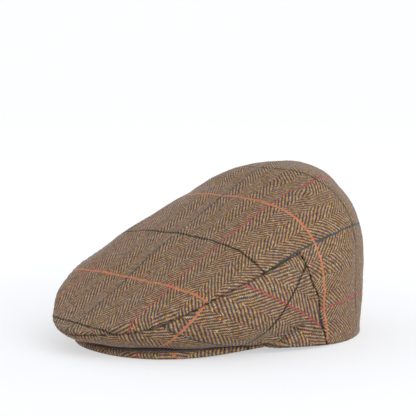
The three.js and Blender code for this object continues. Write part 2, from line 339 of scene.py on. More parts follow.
print("a grid of 3 by 4 points has", len(grid_quads([(3, 4)])), "quads")

# %% Unwrap a panel like a pattern piece
FLAT_STEP = 4  # every fourth line of the fine grid
CENTRE_TOLERANCE = 0.01  # millimetres: how near the centre an edge must lie to be cut open
DART_TOLERANCE = 0.1


def lay_flat(grids):
    """The flat place of every grid point in millimetres, before it is turned to the warp."""
    coarse = [[np.arange(0, size, FLAT_STEP) for size in angle.shape] for angle, _ in grids]
    points = [smooth_point(angle[np.ix_(*lines)], down[np.ix_(*lines)])
              for (angle, down), lines in zip(grids, coarse)]
    shapes = [part.shape[:2] for part in points]
    points = np.concatenate([part.reshape(-1, 3) for part in points])
    first, faces, corners = welded(points, grid_quads(shapes))
    piece = mesh_object("flat", points[first], faces)
    mesh = piece.data
    back_middle = smooth_point(180, DART_START)
    for edge in mesh.edges:
        ends = np.array([mesh.vertices[end].co for end in edge.vertices]) / MM - (0, RIM_MIDDLE, 0)
        central = np.all(np.abs(ends[:, 0]) < CENTRE_TOLERANCE)
        if central and np.all(ends[:, 1] > back_middle[1] - DART_TOLERANCE):
            edge.use_seam = True
    bpy.context.view_layer.objects.active = piece
    piece.select_set(True)
    bpy.ops.object.mode_set(mode="EDIT")
    bpy.ops.mesh.select_all(action="SELECT")
    bpy.ops.uv.unwrap(method="MINIMUM_STRETCH", margin=0)
    bpy.ops.object.mode_set(mode="OBJECT")
    flat = np.zeros((len(points), 2))
    places = np.array([loop.uv for loop in mesh.uv_layers.active.data])
    loop = 0
    for kept in corners:
        flat[kept] = places[loop:loop + len(kept)]
        loop += len(kept)
    area = sum(polygon.area for polygon in mesh.polygons) / MM ** 2
    corner_sets = [places[polygon.loop_start:polygon.loop_start + polygon.loop_total]
                   for polygon in mesh.polygons]
    flat_area = sum(0.5 * abs(np.sum(np.cross(ring, np.roll(ring, -1, axis=0)))) for ring in corner_sets)
    flat *= math.sqrt(area / flat_area)
    bpy.data.objects.remove(piece)
    result, start = [], 0
    for (angle, _), lines, (rows, columns) in zip(grids, coarse, shapes):
        part = flat[start:start + rows * columns].reshape(rows, columns, 2)
        start += rows * columns
        down_columns = smooth_curve(lines[0], part)(np.arange(angle.shape[0]))
        fine = smooth_curve(lines[1], down_columns.transpose(1, 0, 2))(np.arange(angle.shape[1]))
        result.append(fine.transpose(1, 0, 2))
    return result


laid_flat = {name: lay_flat(grids) for name, grids in panel_grids.items()}
for name, flats in laid_flat.items():
    places = np.concatenate([flat.reshape(-1, 2) for flat in flats])
    print(name, "panel lies flat in", np.round(np.ptp(places, axis=0)), "mm")

# %% Turn the flat panels to the warp
WARP_CHECK = 51.0  # millimetres from one coloured warp line to the next
WEFT_CHECK = 54.0  # and from one weft line to the next
TOP_WEFT_SHIFT = 18.5  # from the crown's middle forward to an orange line
TOP_WEFT_BOW = 10.0  # how far a weft line bows to the front at the sides of the crown
BOW_PLACES = (-150, -70)  # the bow grows between these places along the warp,
BOW_WIDTH = 100  # with the square of the distance from the crown's middle as a share of this,
BOW_LIMIT = 1.05  # up to this share
BACK_STRETCH = 1.2  # the cloth is drawn closer behind the crown's middle
WING_HANG = 12.0  # how far the wings' cloth swings back at the rim
HANG_START = 1.2  # the way down where it starts
HANG_ANGLES = (120, 165)  # it fades out between these
BACK_NARROWING = 6.0  # how far the cloth is drawn inwards behind the crown's middle
NARROWING_PLACES = (17, 34)  # this grows between these places along the warp,
NARROWING_CENTRE = 50  # grows from nothing at the crown's middle to here,
NARROWING_SIDES = (70, 96)  # and fades out between these distances from the middle
SIDE_WARP_RISE = 45.0  # degrees that a side panel's warp climbs from the rim towards the front
SIDE_WEFT_FALL = 37.0  # degrees that its weft falls towards the front
SIDE_RED_LINE = (67.2, 73.6)  # a place on its red line: forward and up from the rim's back corner
SIDE_ORANGE_LINE = (112.3, 61.3)  # a place on its orange line
CORNER_STRETCH = 10.5  # how far the cloth is drawn out towards the rim's back corner
CORNER_REACH = (60, 117)  # from here to here, in millimetres past the orange line


def unit(vector):
    return vector / np.linalg.norm(vector)


def turned_top(flats, grids):
    """The warp runs from the front to the back, and the crown's middle lies on a green line."""
    over = flats[0]
    middle = over.shape[1] // 2
    centre = over[0, middle]
    back = unit(centre - over[-1, middle])
    left = np.array([back[1], -back[0]])
    if (over[-1, -BACK_COLUMNS] - centre) @ left < 0:
        left = -left
    turned = []
    for flat, (angle, down) in zip(flats, grids):
        warp_place = (flat - centre) @ left
        weft_place = (flat - centre) @ back
        beside = np.abs(warp_place)
        bow = smoothstep(weft_place, *BOW_PLACES) * np.minimum(beside / BOW_WIDTH, BOW_LIMIT) ** 2
        weft_place = weft_place + TOP_WEFT_BOW * bow
        hang = smoothstep(down, HANG_START, 2) * (1 - smoothstep(np.abs(angle), *HANG_ANGLES))
        weft_place = np.where(weft_place > 0, weft_place * BACK_STRETCH, weft_place) - WING_HANG * hang
        weft_place = weft_place + TOP_WEFT_SHIFT
        drawn_in = smoothstep(weft_place, *NARROWING_PLACES) * (1 - smoothstep(beside, *NARROWING_SIDES))
        outwards = np.sign(warp_place) * smoothstep(beside, 0, NARROWING_CENTRE)
        warp_place = warp_place - BACK_NARROWING * drawn_in * outwards
        turned.append(np.stack([warp_place, weft_place], -1))
    return turned


def turned_side(flats, side):
    """The warp climbs towards the front, and the weft crosses it a little askew."""
    flat = flats[0] if side > 0 else flats[0][:, ::-1]
    back_corner = flat[-1, -1]
    forward = unit(flat[-1, 0] - back_corner)
    up = np.array([-forward[1], forward[0]])
    if (flat[0, -1] - back_corner) @ up < 0:
        up = -up
    place = (flat - back_corner) @ np.stack([forward, up], -1)
    rise, fall = math.radians(SIDE_WARP_RISE), math.radians(SIDE_WEFT_FALL)
    across_warp = np.array([-math.sin(rise), math.cos(rise)])
    across_weft = -np.array([math.sin(fall), math.cos(fall)])
    warp_place = (place - SIDE_RED_LINE) @ across_warp + WARP_CHECK
    weft_place = (place - SIDE_ORANGE_LINE) @ across_weft
    weft_place = weft_place - CORNER_STRETCH * smoothstep(weft_place, *CORNER_REACH)
    turned = np.stack([warp_place, weft_place], -1)
    return [turned] if side > 0 else [turned[:, ::-1] * (-1, 1)]


flat_maps = {
    "top": turned_top(laid_flat["top"], panel_grids["top"]),
    "left": turned_side(laid_flat["left"], 1),
    "right": turned_side(laid_flat["right"], -1),
}
for name, maps in flat_maps.items():
    places = np.concatenate([part.reshape(-1, 2) for part in maps])
    checks = np.ptp(places, axis=0) / (WARP_CHECK, WEFT_CHECK)
    print(name, "panel spans", np.round(checks, 1), "checks across and along the warp")

# %% [markdown]
# ## Turned seams, puckers and creases
# Where two panels meet, each one turns sharply inwards, and the seam allowance under the cloth
# lifts it into a low ridge beside the groove. The stitches draw the cloth up into small puckers.
# All of this is a height above the smooth surface, worked out from the distance to each seam.

# %% Lines of the seams
SEAM_STEP = 0.7  # millimetres between the points of a seam's line
SEAM_POINTS = {"top": 160, "rear": 120, "centre back": 150, "rim": 721}  # places on each line


def seam_line(angle, down):
    """Points along a seam, and how far along the seam each one lies."""
    points = smooth_point(angle, down)
    length = np.concatenate([[0], np.cumsum(np.linalg.norm(np.diff(points, axis=0), axis=1))])
    even = np.arange(0, length[-1], SEAM_STEP)
    return smooth_curve(length, points)(even), even


turns = np.linspace(0, CORNER_ANGLE, SEAM_POINTS["top"])
downs = np.linspace(SIDE_SEAM[0][0], 2, SEAM_POINTS["rear"])
dart = np.linspace(DART_START, 2, SEAM_POINTS["centre back"])
around = np.linspace(-180, 180, SEAM_POINTS["rim"])
seam_lines = {
    "top left": seam_line(turns, seam_down(turns)),
    "top right": seam_line(-turns, seam_down(turns)),
    "rear left": seam_line(side_seam_angle(downs), downs),
    "rear right": seam_line(-side_seam_angle(downs), downs),
    "centre back": seam_line(np.full(len(dart), 180.0), dart),
    "rim": seam_line(around, np.full(len(around), 2.0)),
}
for name, (points, length) in seam_lines.items():
    print(f"{name} seam: {length[-1]:.0f} mm")


# %% Distance to a seam
BATCH = 2000  # points at a time, to save memory


def nearest(points, line):
    """For each point, the distance to a line of points and the place along it."""
    line_points, along = line
    flat = points.reshape(-1, 3)
    distance, place = np.empty(len(flat)), np.empty(len(flat))
    for start in range(0, len(flat), BATCH):
        part = slice(start, start + BATCH)
        squares = ((flat[part, None] - line_points) ** 2).sum(-1)
        best = squares.argmin(1)
        distance[part] = np.sqrt(squares[np.arange(len(best)), best])
        place[part] = along[best]
    distance = np.maximum(distance - SEAM_STEP / 4, 0)  # the nearest point is that far along on average
    return distance.reshape(points.shape[:-1]), place.reshape(points.shape[:-1])


middle_distance, _ = nearest(smooth_point([0], [0]), seam_lines["rim"])
print("the crown's middle is", np.round(middle_distance, 1), "mm from the rim")

# %% Height of the cloth beside a seam
# How far the edge turns in, the ridge's height and its distance from the seam, the puckers, and
# how much shade the groove holds
SEAM_SHAPES = {
    ("top left", "top"): (0.8, 0.45, 3.2, 0.34, 0.5), ("top left", "side"): (0.8, 0.15, 3.0, 0.32, 0.5),
    ("rear left", "top"): (1.0, 0.1, 2.6, 0.12, 0.85), ("rear left", "side"): (1.0, 0.5, 2.8, 0.16, 0.85),
    ("centre back", "top"): (0.8, 0.3, 2.8, 0.12, 0.6),
    ("rim", "top"): (1.2, 0.0, 1.0, 0.0, 0.4), ("rim", "side"): (1.2, 0.0, 1.0, 0.0, 0.4),
}
RIDGE_WIDTH = 0.7  # as a share of the ridge's distance from the seam
PUCKER_LENGTH = 7.5
PUCKER_REACH = 6.0
PUCKER_DRIFT = ((11, 1.7), (4.7, 1.0))  # millimetres to a radian of each drift, and its size in radians
SHADE_REACH = 1.5
SHADE_WIDENING = (0.7, 1.3)  # of the reach, from no pucker to a full one
SHADE_DEEPENING = (0.7, 1.2)  # and of the shade


def pucker_wave(along):
    """Uneven waves along a seam, from -1 to 1."""
    drift = sum(size * np.sin(along / length) for length, size in PUCKER_DRIFT)
    return np.sin(2 * math.pi * along / PUCKER_LENGTH + drift)


def seam_height(distance, along, shape):
    turn_in, ridge, ridge_place, pucker, _ = shape
    into = np.clip(turn_in - distance, 0, turn_in)
    edge = turn_in - np.sqrt(np.maximum(turn_in ** 2 - into ** 2, 0))
    lift = ridge * np.exp(-((distance - ridge_place) / (RIDGE_WIDTH * ridge_place)) ** 2)
    return -edge, lift + pucker * pucker_wave(along) * np.exp(-(distance / PUCKER_REACH) ** 2)


def seam_shade(distance, along, shape):
    """The groove's shade, 1 where there is none: darker and wider where the cloth puckers."""
    pucker = 0.5 - 0.5 * pucker_wave(along)
    reach = SHADE_REACH * mix(*SHADE_WIDENING, pucker)
    return 1 - shape[-1] * mix(*SHADE_DEEPENING, pucker) * (1 - smoothstep(distance, 0, reach))


print(len(SEAM_SHAPES), "kinds of sewn edge")

# %% Creases, dents and the soft unevenness of cloth
# Angle, way down, depth in millimetres (less than 0 puffs out), and the half widths of each
CREASES = [(76, 1.78, 2.6, 7, 0.12), (83, 1.6, 1.6, 8, 0.11), (62, 1.45, -1.8, 14, 0.22),
           (-70, 1.78, 3.0, 8, 0.12), (-61, 1.45, -1.8, 14, 0.22), (-47, 0.7, 2.0, 9, 0.12),
           (-60, 0.44, -1.35, 9, 0.1), (142, 0.6, 3.4, 17, 0.13)]
CREASE_FADE = 1.85  # from this way down to the rim the creases fade out
# Over the temples the side panel puffs out and folds in sharply under itself
FOLD_PLACE = (1.87, 1.63)  # the way down to the fold's lip, in front and behind
FOLD_BEND = (69.5, 75.5)  # angles between which the lip climbs
FOLD_MIDDLE = 71
FOLD_SPREAD = 8
FOLD_DEPTH = 5.5
FOLD_ABOVE = (-0.03, 0.025)  # it goes in between these ways down from the lip
FOLD_BELOW = (0.06, 0.24)  # and comes out again between these,
FOLD_FADE = 1.95  # or from this way down to the rim
LIP_LIFT = 1.4
LIP_PLACE = 0.07  # this much above the fold
LIP_WIDTH = 0.05
WAVE_COUNT = 24
WAVE_VARIETY = (0.7, 1.5)  # shares of the wave's length
SOFT_WAVES = [(0.35, 45, 3), (0.1, 14, 4)]  # height and length in millimetres, and the seed
RIM_CALM = 0.12  # the unevenness dies away over this last part of the way down to the rim


def fold_height(angle, down):
    turn = np.abs(angle)
    lip = mix(*FOLD_PLACE, smoothstep(turn, *FOLD_BEND))
    below = down - lip
    share = np.exp(-((turn - FOLD_MIDDLE) / FOLD_SPREAD) ** 2)
    inward = smoothstep(below, *FOLD_ABOVE) * (1 - smoothstep(below, *FOLD_BELOW))
    inward *= 1 - smoothstep(down, FOLD_FADE, 2)
    lift = np.exp(-((below + LIP_PLACE) / LIP_WIDTH) ** 2)
    return share * (LIP_LIFT * lift - FOLD_DEPTH * inward)


def crease_height(angle, down):
    height = np.zeros(np.shape(angle))
    for place, way_down, depth, half_angle, half_down in CREASES:
        across = (angle - place) / half_angle
        along = (down - way_down) / half_down
        height -= depth * np.exp(-across ** 2 - along ** 2)
    return height * (1 - smoothstep(down, CREASE_FADE, 2)) + fold_height(angle, down)


def soft_waves(points, length, seed):
    """Gentle unevenness: waves of about one length that run in all directions."""
    random = np.random.default_rng(seed)
    height = np.zeros(points.shape[:-1])
    for _ in range(WAVE_COUNT):
        direction = unit(random.normal(size=3)) * 2 * math.pi / (length * random.uniform(*WAVE_VARIETY))
        height += np.sin(points @ direction + random.uniform(0, 2 * math.pi))
    return height / math.sqrt(WAVE_COUNT / 2)


print(len(CREASES), "creases and puffs, and a fold", FOLD_DEPTH, "mm deep over each temple")

# %% The cloth's height over a whole panel
def panel_height(angle, down, points, kind):
    turned_in = np.zeros(points.shape[:-1])
    height = crease_height(angle, down)
    for size, length, seed in SOFT_WAVES:
        height = height + size * soft_waves(points, length, seed)
    shade = np.ones(points.shape[:-1])
    for name, line in seam_lines.items():
        shape = SEAM_SHAPES.get((name.replace("right", "left"), kind))
        if shape:
            distance, along = nearest(points, line)
            edge, lift = seam_height(distance, along, shape)
            turned_in = np.minimum(turned_in, edge)
            height += lift
            shade = np.minimum(shade, np.maximum(seam_shade(distance, along, shape), 0))
    calm = smoothstep(2 - down, 0, RIM_CALM)
    return turned_in + height * calm, shade


fold_heights = crease_height(np.full(200, FOLD_MIDDLE), np.linspace(1, 2, 200))
print("above the rim the cloth folds in to", round(float(fold_heights.min()), 1), "mm at its deepest")

# %% [markdown]
# ## The panels as shells of cloth
# Each panel is a closed shell: the outer face with its seams, an inner face one wall's thickness
# below the smooth surface, and the cut edge between them. The map of the flat panel is kept as
# its UV map, in metres, and the shade of the seams as an attribute for the material.

# %% Build one shell
RIM_LEVEL_START = 1.9  # from here down the heights turn level, so that the rim is cut flat


def keep_map(mesh, flat, corners, shades):
    """Gives the mesh its flat map, from millimetres, and the shade of its seams."""
    order = np.concatenate([np.array(kept) for kept in corners])
    uv_map = mesh.uv_layers.new(name="cloth")
    uv_map.data.foreach_set("uv", (flat * MM)[order].astype(np.float32).ravel())
    shade = mesh.attributes.new("seam_shade", "FLOAT", "POINT")
    shade.data.foreach_set("value", shades.astype(np.float32))


def cloth_panel(name, grids, maps, kind):
    outer, inner, shades = [], [], []
    for angle, down in grids:
        base = smooth_point(angle, down)
        facing = outward(angle, down)
        height, shade = panel_height(angle, down, base, kind)
        level = facing.copy()
        behind_peak = np.abs(angle) > PEAK_TIP_ANGLE + RIM_DROP_ANGLE
        level[..., 2] *= 1 - smoothstep(down, RIM_LEVEL_START, 2) * behind_peak
        level /= np.linalg.norm(level, axis=-1, keepdims=True)
        outer.append((base + level * height[..., None]).reshape(-1, 3))
        depth = TWEED_WALL - crease_height(angle, down)
        inner.append((base - level * depth[..., None]).reshape(-1, 3))
        shades.append(shade.reshape(-1))
    smooth = np.concatenate([smooth_point(angle, down).reshape(-1, 3) for angle, down in grids])
    outer, inner, shades = map(np.concatenate, (outer, inner, shades))
    flat = np.concatenate([part.reshape(-1, 2) for part in maps])
    first, faces, corners = welded(smooth, grid_quads([angle.shape for angle, _ in grids]))
    count = len(first)
    open_edges = {}
    for face, kept in zip(faces, corners):
        for start, end, corner, after in zip(face, face[1:] + face[:1], kept, kept[1:] + kept[:1]):
            if open_edges.pop((end, start), None) is None:
                open_edges[start, end] = (corner, after)
    inner_faces = [[number + count for number in reversed(face)] for face in faces]
    inner_corners = [kept[::-1] for kept in corners]
    walls = [[start, start + count, end + count, end] for start, end in open_edges]
    wall_corners = [[corner, corner, after, after] for corner, after in open_edges.values()]
    piece = mesh_object(name, np.concatenate([outer[first], inner[first]]), faces + inner_faces + walls)
    mesh = piece.data
    mesh.shade_smooth()
    keep_map(mesh, flat, corners + inner_corners + wall_corners, np.tile(shades[first], 2))
    slots = np.zeros(len(mesh.polygons), np.int32)
    slots[len(faces):len(faces) + len(inner_faces)] = 1  # the inner side has the second material
    mesh.polygons.foreach_set("material_index", slots)
    print(f"{name}: {len(mesh.polygons)} faces")
    return piece


top_piece = cloth_panel("tweed_top", panel_grids["top"], flat_maps["top"], "top")
left_piece = cloth_panel("tweed_side_left", panel_grids["left"], flat_maps["left"], "side")
right_piece = cloth_panel("tweed_side_right", panel_grids["right"], flat_maps["right"], "side")

# %% [markdown]
# ## The peak
# The peak is a stiff board with the tweed pulled tight round it. One rounded section is swept
# from tip to tip. Its cloth map is the flat board's own plan, carried on round the front edge.

# %% Sweep the peak
PEAK_STEPS = 160
EDGE_STEPS = 10
FLAT_STEPS = 14
TAIL_ANGLE = 66.5  # the cloth that covers the peak runs on to here, sewn in under the rim
PEAK_WARP_SHIFT = 9.0  # so that a red line crosses the front edge at the wearer's left
TAIL_THICKNESS = 1.2
TAIL_TUCK = 3.5
TAIL_SET_BACK = 1.3
TAIL_OVERLAP = 1.0


def past_tip(angle):
    """0 on the board and 1 at the end of its cloth."""
    return np.clip((np.abs(angle) - PEAK_TIP_ANGLE) / (TAIL_ANGLE - PEAK_TIP_ANGLE), 0, 1)


def peak_reach(angle):
    share = np.minimum(1, np.abs(angle) / PEAK_TIP_ANGLE)
    return PEAK_DEPTH * (1 - share ** PEAK_FULLNESS) ** PEAK_TAILING


def peak_section(angle):
    """Distance from the rim's middle, height, and distance over the cloth, round one section."""
    thickness = mix(peak_thickness(angle), TAIL_THICKNESS, past_tip(angle))
    edge = thickness / 2
    inside = rim_radius(angle) - mix(PEAK_TUCK, TAIL_TUCK, past_tip(angle))
    outside = rim_radius(angle) + peak_reach(angle) - edge - TAIL_SET_BACK * past_tip(angle)
    share = np.linspace(0, 1, FLAT_STEPS, endpoint=False)
    turn = np.linspace(math.pi / 2, -math.pi / 2, EDGE_STEPS + 1)
    top = np.stack([mix(inside, outside, share), np.full(FLAT_STEPS, thickness)], -1)
    front = np.stack([outside + edge * np.cos(turn), edge * (1 + np.sin(turn))], -1)
    under = np.stack([mix(outside, inside, share[1:]), np.zeros(FLAT_STEPS - 1)], -1)
    back = np.array([[inside, 0.0]])
    section = np.concatenate([top, front, under, back])
    cloth = np.concatenate([[0], np.cumsum(np.linalg.norm(np.diff(section, axis=0), axis=1))])
    return section, inside + cloth


def make_peak():
    points, places = [], []
    for angle in np.linspace(-TAIL_ANGLE, TAIL_ANGLE, PEAK_STEPS + 1):
        section, cloth = peak_section(angle)
        bearing = math.radians(angle)
        rise = rim_height(angle) - mix(PEAK_SEAT, -TAIL_OVERLAP, past_tip(angle)) - section[0, 1]
        points.append([(r * math.sin(bearing), -r * math.cos(bearing), z + rise) for r, z in section])
        places.append([(r * math.sin(bearing) + PEAK_WARP_SHIFT, -r * math.cos(bearing)) for r in cloth])
    points, places = np.array(points), np.array(places)
    around = points.shape[1]
    faces, corners = [], []
    for step in range(PEAK_STEPS):
        for corner in range(around):
            after = (corner + 1) % around
            quad = [(step, corner), (step, after), (step + 1, after), (step + 1, corner)]
            faces.append([row * around + column for row, column in quad])
            corners.append(faces[-1])
    last = PEAK_STEPS * around
    faces += [list(range(around))[::-1], list(range(last, last + around))]
    corners += faces[-2:]
    piece = mesh_object("tweed_peak", points.reshape(-1, 3), faces)
    piece.data.shade_smooth()
    keep_map(piece.data, places.reshape(-1, 2), corners, np.ones(len(points) * around))
    return piece


peak_piece = make_peak()
print(f"tweed_peak: {len(peak_piece.data.polygons)} faces")

# %% [markdown]
# ## Herringbone tweed
# The cloth is a wool herringbone: a two-and-two twill whose lines change direction every sixteen
# yarns. The warp is ochre, the weft dark navy and brown. Every 54 mm a coloured pair of yarns runs
# across, orange and dark green by turns, and every 51 mm one runs along, dark green and red by turns.
# A pair that runs along is crossed by the dark weft, so it looks like dashes on a dark ground, and
# one that runs across is dotted by the ochre warp. An image of cloth could be laid on the flat map,
# but it would blur close up, so the material counts yarns there instead, works out which of the
# two lies on top at each crossing, and colours and raises each float as a round yarn.

# %% The yarns and their colours
CHECK_WARPS = 64  # yarns to a check
CHECK_WEFTS = 56
CHECK_YARNS = 2  # coloured yarns to a check line
WARP_YARN = WARP_CHECK / CHECK_WARPS  # about 0.8 mm from yarn to yarn
WEFT_YARN = WEFT_CHECK / CHECK_WEFTS  # the weft is beaten up less closely, so the twill is steep
COLUMN_YARNS = 16  # from one turn of the twill to the next
TWILL_REPEAT = 4
END_DIP = 0.45  # a float loses this share of its height at its ends, and the rest at its sides
SPACE_SHADE = 0.45  # how much darker the cloth is between the yarns
# Positions along a colour ramp, and the colours that each yarn is spun from
OCHRE_WARP = [(0.3, "#896336"), (0.42, "#9f7d47"), (0.5, "#ab8b5b"), (0.58, "#9a755b"), (0.7, "#757961")]
NAVY_WEFT = [(0.3, "#373a54"), (0.42, "#463d4a"), (0.5, "#623d40"), (0.58, "#464641"), (0.7, "#3b5657")]
COLOUR_STRETCH = 0.16  # of the yarn's colours along it
COLOUR_STEP = 3.7  # from yarn to yarn, so that neighbours differ
COLOUR_SEEDS = {"weft": 2.0, "warp": 7.0}
ORANGE_WEFT = "#c46c50"
GREEN_WEFT = "#081c14"
GREEN_WARP = "#3a5648"
RED_WARP = "#c05c56"
FLECKS = [(0.0, "#3f5f88"), (0.3, "#a8483e"), (0.5, "#b8a888"), (0.65, "#4f7a4c"), (0.85, "#d8b050")]
FLECK_SHARE = 0.018  # of all floats
FLECK_STRENGTH = 0.75
CHANCE_SEEDS = {"float": 1.0, "fleck": 5.0}
# How much of a line's colour shows where the other yarns lie on top
WEFT_PEEPING = (0.3, 0.7)  # of the orange and of the green weft lines
WARP_PEEPING = (0.0, 0.05)  # of the green and of the red warp lines
# Hue, saturation and brightness, as changes to a colour: from float to float, and in patches
FLOAT_VARIETY = ((0.485, 0.515), (0.85, 1.15), (0.85, 1.15))
PATCH_VARIETY = ((0.482, 0.518), (0.78, 1.12), (0.68, 1.32))
PATCHES_TO_METRE = 330
NOISE_SPAN = (0.3, 0.7)  # nearly all of a noise's values lie between these
YARN_WANDER = ((110, 1.5), (420, 0.8))  # waves to the metre, and millimetres of wander
print("yarns are", round(WARP_YARN, 2), "mm apart across and", round(WEFT_YARN, 2), "mm along the warp")


# %% Small helpers for materials
def linear(hex_colour):
    """An sRGB hex colour as the linear values that shaders use."""
    parts = [int(hex_colour[start:start + 2], 16) / 255 for start in (1, 3, 5)]
    return [part / 12.92 if part <= 0.04045 else ((part + 0.055) / 1.055) ** 2.4 for part in parts] + [1]


def empty_material(name):
    """A new material, and its empty node tree."""
    material = bpy.data.materials.new(name)
    material.use_nodes = True
    material.node_tree.nodes.clear()
    return material, material.node_tree


# In a Mix node, input 0 is the share, 2 and 3 are numbers, and 6 and 7 are colours with output 2
def add(tree, kind, inputs=(), output=0, **settings):
    """Adds a node with its settings and links, and returns one of its outputs."""
    node = tree.nodes.new(kind)
    for name, value in settings.items():
        setattr(node, name, value)
    for place, value in (inputs.items() if isinstance(inputs, dict) else enumerate(inputs)):
        if isinstance(value, bpy.types.NodeSocket):
            tree.links.new(value, node.inputs[place])
        elif value is not None:
            node.inputs[place].default_value = value
    return node.outputs[output] if output is not None else node


def set_ramp(ramp, colours):
    """Gives a colour ramp these positions and sRGB colours."""
    while len(ramp.elements) < len(colours):
        ramp.elements.new(0.5)
    for element, (position, colour) in zip(ramp.elements, colours):
        element.position = position
        element.color = linear(colour)


print("the orange yarn's linear colour is", np.round(linear(ORANGE_WEFT)[:3], 3))


# %% Which yarn lies on top
def yarn_counts(tree):
    """Yarn numbers and places within them, from the flat map."""
    place = add(tree, "ShaderNodeUVMap", uv_map="cloth")
    for scale, strength in YARN_WANDER:
        wander = add(tree, "ShaderNodeTexNoise", {"Vector": place, "Scale": scale, "Detail": 1.0}, 1)
        wander = add(tree, "ShaderNodeVectorMath", [wander, (0.5, 0.5, 0.5)], operation="SUBTRACT")
        wander = add(tree, "ShaderNodeVectorMath", {0: wander, "Scale": strength * MM}, operation="SCALE")
        place = add(tree, "ShaderNodeVectorMath", [place, wander], operation="ADD")
    spacing = (WARP_YARN * MM, WEFT_YARN * MM, 1)
    count = add(tree, "ShaderNodeVectorMath", {0: place, 1: spacing}, operation="DIVIDE")
    across = add(tree, "ShaderNodeSeparateXYZ", [count], None)
    counts = {"warp": across.outputs[0], "weft": across.outputs[1]}
    for yarn in ("warp", "weft"):
        counts[yarn + " number"] = add(tree, "ShaderNodeMath", [counts[yarn]], operation="FLOOR")
        counts[yarn + " place"] = add(tree, "ShaderNodeMath", [counts[yarn]], operation="FRACT")
    return counts


def herringbone(tree, counts):
    """The step of each crossing in the twill's repeat of four: 0 and 1 weft, 2 and 3 warp."""
    column = add(tree, "ShaderNodeMath", [counts["warp"], COLUMN_YARNS], operation="DIVIDE")
    column = add(tree, "ShaderNodeMath", [column], operation="FLOOR")
    odd = add(tree, "ShaderNodeMath", [column, 2], operation="FLOORED_MODULO")
    way = add(tree, "ShaderNodeMath", [odd, -2, 1], operation="MULTIPLY_ADD")
    phase = add(tree, "ShaderNodeMath", [counts["warp number"], way, counts["weft number"]],
                operation="MULTIPLY_ADD")
    phase = add(tree, "ShaderNodeMath", [phase, odd], operation="ADD")
    step = add(tree, "ShaderNodeMath", [phase, TWILL_REPEAT], operation="FLOORED_MODULO")
    weft_on_top = add(tree, "ShaderNodeMath", [step, TWILL_REPEAT / 2 - 0.5], operation="LESS_THAN")
    return step, weft_on_top, way


def yarn_height(tree, counts, step, weft_on_top, way):
    """Each float is round across and dips at its two ends."""
    across = add(tree, "ShaderNodeMix", {
        0: weft_on_top, 2: counts["warp place"], 3: counts["weft place"]})
    centred = add(tree, "ShaderNodeMath", [across, 2, -1], operation="MULTIPLY_ADD")
    round_across = add(tree, "ShaderNodeMath", [centred, centred], operation="MULTIPLY")
    forward = add(tree, "ShaderNodeMath", [step, 0.5], operation="SUBTRACT")
    forward = add(tree, "ShaderNodeMath", [forward, way, 0.5], operation="MULTIPLY_ADD")
    weft_along = add(tree, "ShaderNodeMath", [forward, counts["warp place"]], operation="ADD")
    warp_along = add(tree, "ShaderNodeMath", [step, counts["weft place"]], operation="ADD")
    warp_along = add(tree, "ShaderNodeMath", [warp_along, 2], operation="SUBTRACT")
    along = add(tree, "ShaderNodeMix", {0: weft_on_top, 2: warp_along, 3: weft_along})
    ends = add(tree, "ShaderNodeMath", [along, 1], operation="SUBTRACT")
    ends = add(tree, "ShaderNodeMath", [ends, ends], operation="MULTIPLY")
    fall = add(tree, "ShaderNodeMath", [ends, END_DIP], operation="MULTIPLY")
    fall = add(tree, "ShaderNodeMath", [round_across, 1 - END_DIP, fall], operation="MULTIPLY_ADD")
    return add(tree, "ShaderNodeMath", [1, fall], operation="SUBTRACT")


print("the twill repeats after", TWILL_REPEAT, "yarns and turns after", COLUMN_YARNS)


# %% The coloured yarns of the overcheck
def check_stripe(tree, number, check):
    """1 on the yarns of each check line, and 1 on every second line."""
    moved = add(tree, "ShaderNodeMath", [number, CHECK_YARNS / 2], operation="ADD")
    within = add(tree, "ShaderNodeMath", [moved, check], operation="FLOORED_MODULO")
    stripe = add(tree, "ShaderNodeMath", [within, CHECK_YARNS - 0.5], operation="LESS_THAN")
    line = add(tree, "ShaderNodeMath", [moved, check], operation="DIVIDE")
    line = add(tree, "ShaderNodeMath", [line], operation="FLOOR")
    second = add(tree, "ShaderNodeMath", [line, 2], operation="FLOORED_MODULO")
    return stripe, second


def check_share(tree, stripe, second, on_top, peeping):
    """How much of a check line shows at a crossing."""
    between = add(tree, "ShaderNodeMapRange", [second, 0.0, 1.0, *peeping])
    share = add(tree, "ShaderNodeMix", {0: on_top, 2: between, 3: 1.0})
    return add(tree, "ShaderNodeMath", [share, stripe], operation="MULTIPLY")


print("check lines are", WARP_CHECK, "mm apart across and", WEFT_CHECK, "mm along the warp")


# %% The tweed itself
def yarn_colour(tree, counts, yarn, crossed, colours):
    """A yarn spun from several colours of wool, so it changes slowly along its length."""
    along = add(tree, "ShaderNodeMath", [counts[crossed], COLOUR_STRETCH], operation="MULTIPLY")
    across = add(tree, "ShaderNodeMath", [counts[yarn + " number"], COLOUR_STEP], operation="MULTIPLY")
    place = add(tree, "ShaderNodeCombineXYZ", [along, across, COLOUR_SEEDS[yarn]])
    shade = add(tree, "ShaderNodeTexNoise", {
        "Vector": place, "Scale": 1.0, "Detail": 2.0, "Roughness": 0.7})
    ramp = add(tree, "ShaderNodeValToRGB", [shade], None)
    set_ramp(ramp.color_ramp, colours)
    return ramp.outputs[0]


def varied(tree, colour, chance, span, variety):
    """The colour, shifted in hue, saturation and brightness by three parts of one noise."""
    parts = add(tree, "ShaderNodeSeparateColor", [chance], None)
    shifts = [add(tree, "ShaderNodeMapRange", [part, *span, *ends])
              for part, ends in zip(parts.outputs, variety)]
    return add(tree, "ShaderNodeHueSaturation", [*shifts, 1.0, colour])


